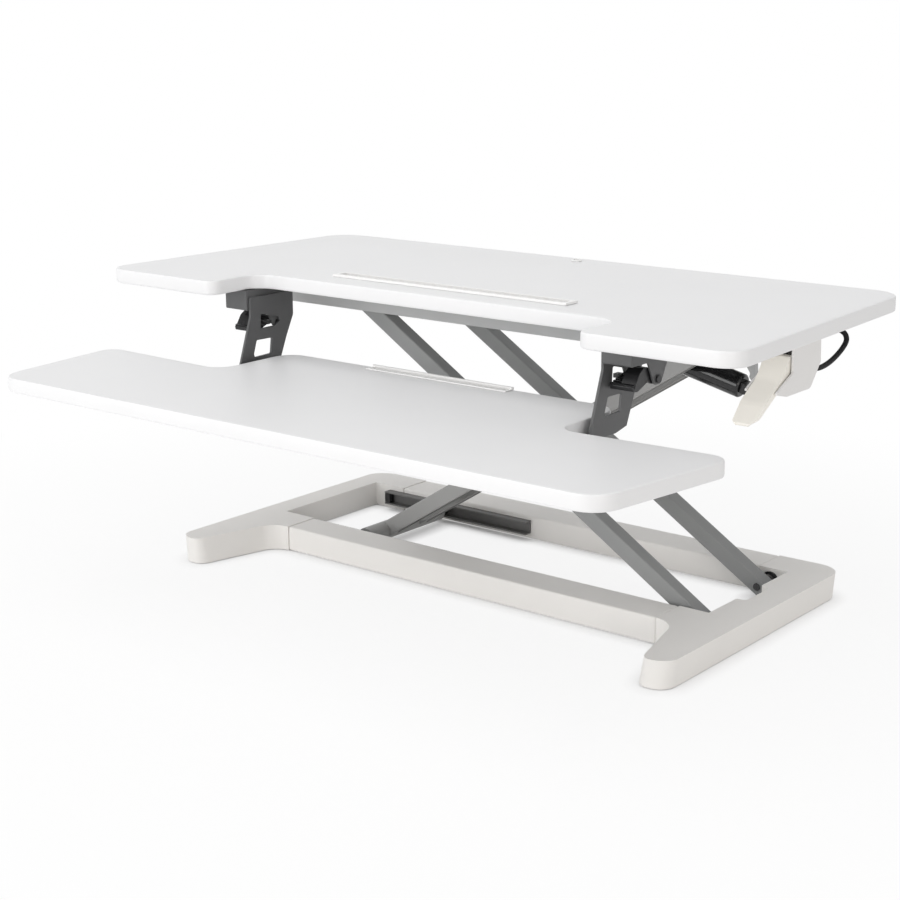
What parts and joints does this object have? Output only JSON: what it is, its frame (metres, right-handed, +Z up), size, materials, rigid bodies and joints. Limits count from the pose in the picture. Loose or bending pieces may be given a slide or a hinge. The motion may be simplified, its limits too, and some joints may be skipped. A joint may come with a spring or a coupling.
{
  "type": "standing desk converter",
  "caption": "Height-adjustable desk riser: a notched worktop and a lower keyboard tray on a gas-strut scissor lift, standing on a flat base frame",
  "frame": {"origin": "middle of the footprint, on the desk surface that the rubber pads stand on", "axes": "+X along the worktop to the user's right, +Y away from the user, +Z up"},
  "size_m": [0.8968, 0.612, 0.376],
  "materials": {
    "white_laminate": "satin white laminate on board",
    "white_plastic": "satin white",
    "cream_paint": "satin warm-white powder coat",
    "grey_paint": "satin grey powder coat",
    "silver_paint": "satin light-grey powder coat",
    "charcoal_paint": "fine-texture charcoal powder coat",
    "black_plastic": "satin black",
    "black_steel": "gloss black",
    "bright_steel": "zinc-plated",
    "ivory_plastic": "satin ivory",
    "black_rubber": "matt"
  },
  "bodies": {
    "base": {"foot_left": "cream_paint", "foot_right": "cream_paint", "base_bar_front": "cream_paint", "base_bar_rear": "cream_paint", "rubber_pad_left_front": "black_rubber", "rubber_pad_left_rear": "black_rubber", "rubber_pad_right_front": "black_rubber", "rubber_pad_right_rear": "black_rubber", "lower_track_front": "bright_steel", "lower_track_rear": "bright_steel", "end_stop_front": "black_plastic", "end_stop_rear": "black_plastic", "base_pin_front": "black_steel", "base_pin_rear": "black_steel"},
    "outer_legs": {"outer_arm_front": "grey_paint", "outer_arm_rear": "grey_paint", "outer_cross_tube": "grey_paint", "upper_roller_shaft": "bright_steel", "middle_shaft": "bright_steel"},
    "inner_legs": {"inner_rail_front": "silver_paint", "inner_rail_rear": "silver_paint", "inner_strap_lower": "silver_paint", "inner_strap_upper": "silver_paint", "inner_foot_tube": "silver_paint", "strut_crank": "silver_paint"},
    "top": {"worktop": "white_laminate", "device_slot": "white_plastic", "cable_grommet": "white_plastic", "keyboard_tray": "white_laminate", "tray_slot": "white_plastic", "top_rail_front": "silver_paint", "top_rail_rear": "silver_paint", "top_cross_left": "silver_paint", "top_cross_middle": "silver_paint", "top_cross_right": "silver_paint", "strut_bracket": "silver_paint", "top_pivot_shaft": "bright_steel", "hanger_left": "charcoal_paint", "hanger_right": "charcoal_paint", "socket_left": "charcoal_paint", "socket_right": "charcoal_paint", "lever_pin_left": "black_steel", "lever_pin_right": "black_steel", "handle_housing": "white_plastic", "handle_pin": "bright_steel", "handle_spring": "bright_steel", "release_cable": "black_plastic", "cable_clip": "black_plastic"},
    "strut_rod_body": {"strut_rod": "bright_steel", "release_head": "black_plastic"},
    "strut_cylinder_body": {"strut_cylinder": "black_steel", "strut_clevis": "black_plastic"},
    "rocker": {"release_rocker": "silver_paint"},
    "handle": {"handle_lever": "ivory_plastic"},
    "quick_lever_left_body": {"quick_lever_left": "black_plastic"},
    "quick_lever_right_body": {"quick_lever_right": "black_plastic"},
    "roller_upper_front": {"upper_roller_front": "black_plastic"},
    "roller_upper_rear": {"upper_roller_rear": "black_plastic"},
    "roller_lower_front": {"lower_roller_front": "black_plastic"},
    "roller_lower_rear": {"lower_roller_rear": "black_plastic"}
  },
  "joints": [
    {"name": "lift", "type": "hinge", "parent": "base", "child": "outer_legs", "pos_m": [0.296, 0.1625, 0.018], "axis": [0, 1, 0], "range_deg": [-24.7, 16.8]},
    {"name": "scissor", "type": "hinge", "parent": "outer_legs", "child": "inner_legs", "pos_m": [0.04637, 0.1625, 0.1752], "axis": [0, 1, 0], "range_deg": [-33.6, 49.4]},
    {"name": "top_level", "type": "hinge", "parent": "inner_legs", "child": "top", "pos_m": [0.296, 0.1625, 0.3324], "axis": [0, 1, 0], "range_deg": [-24.7, 16.8]},
    {"name": "strut_swing", "type": "hinge", "parent": "top", "child": "strut_rod_body", "pos_m": [0.105, 0.1625, 0.32], "axis": [0, -1, 0], "range_deg": [-4.25, 2.9]},
    {"name": "strut_stroke", "type": "slide", "parent": "strut_rod_body", "child": "strut_cylinder_body", "axis": [0.9725, 0, -0.233], "range_m": [-0.0255, 0.0174]},
    {"name": "handle_squeeze", "type": "hinge", "parent": "top", "child": "handle", "pos_m": [0.4165, 0.034, 0.338], "axis": [-1, 0, 0], "range_deg": [0, 18], "stiffness_Nm_per_rad": 0.6, "springref_deg": -20.05},
    {"name": "rocker_turn", "type": "hinge", "parent": "strut_rod_body", "child": "rocker", "pos_m": [0.13172, 0.1625, 0.32851], "axis": [0, -1, 0], "range_deg": [0, 9]},
    {"name": "quick_release_left", "type": "hinge", "parent": "top", "child": "quick_lever_left_body", "pos_m": [-0.277, -0.0067, 0.31], "axis": [-1, 0, 0], "range_deg": [0, 9], "stiffness_Nm_per_rad": 0.8, "springref_deg": -20.05},
    {"name": "quick_release_right", "type": "hinge", "parent": "top", "child": "quick_lever_right_body", "pos_m": [0.277, -0.0067, 0.31], "axis": [-1, 0, 0], "range_deg": [0, 9], "stiffness_Nm_per_rad": 0.8, "springref_deg": -20.05},
    {"name": "roll_upper_front", "type": "hinge", "parent": "outer_legs", "child": "roller_upper_front", "pos_m": [-0.20325, 0.0763, 0.3324], "axis": [0, 1, 0], "continuous": true},
    {"name": "roll_upper_rear", "type": "hinge", "parent": "outer_legs", "child": "roller_upper_rear", "pos_m": [-0.20325, 0.2487, 0.3324], "axis": [0, 1, 0], "continuous": true},
    {"name": "roll_lower_front", "type": "hinge", "parent": "inner_legs", "child": "roller_lower_front", "pos_m": [-0.20325, 0.0808, 0.018], "axis": [0, 1, 0], "continuous": true},
    {"name": "roll_lower_rear", "type": "hinge", "parent": "inner_legs", "child": "roller_lower_rear", "pos_m": [-0.20325, 0.2484, 0.018], "axis": [0, 1, 0], "continuous": true}
  ],
  "couplings": [
    {"joint": "scissor", "follows": "lift", "ratio": -2},
    {"joint": "top_level", "follows": "lift", "ratio": 1},
    {"joint": "strut_swing", "follows": "lift", "ratio": 0.17},
    {"joint": "strut_stroke", "follows": "lift", "m_per_rad": 0.059},
    {"joint": "rocker_turn", "follows": "handle_squeeze", "ratio": 0.5}
  ]
}
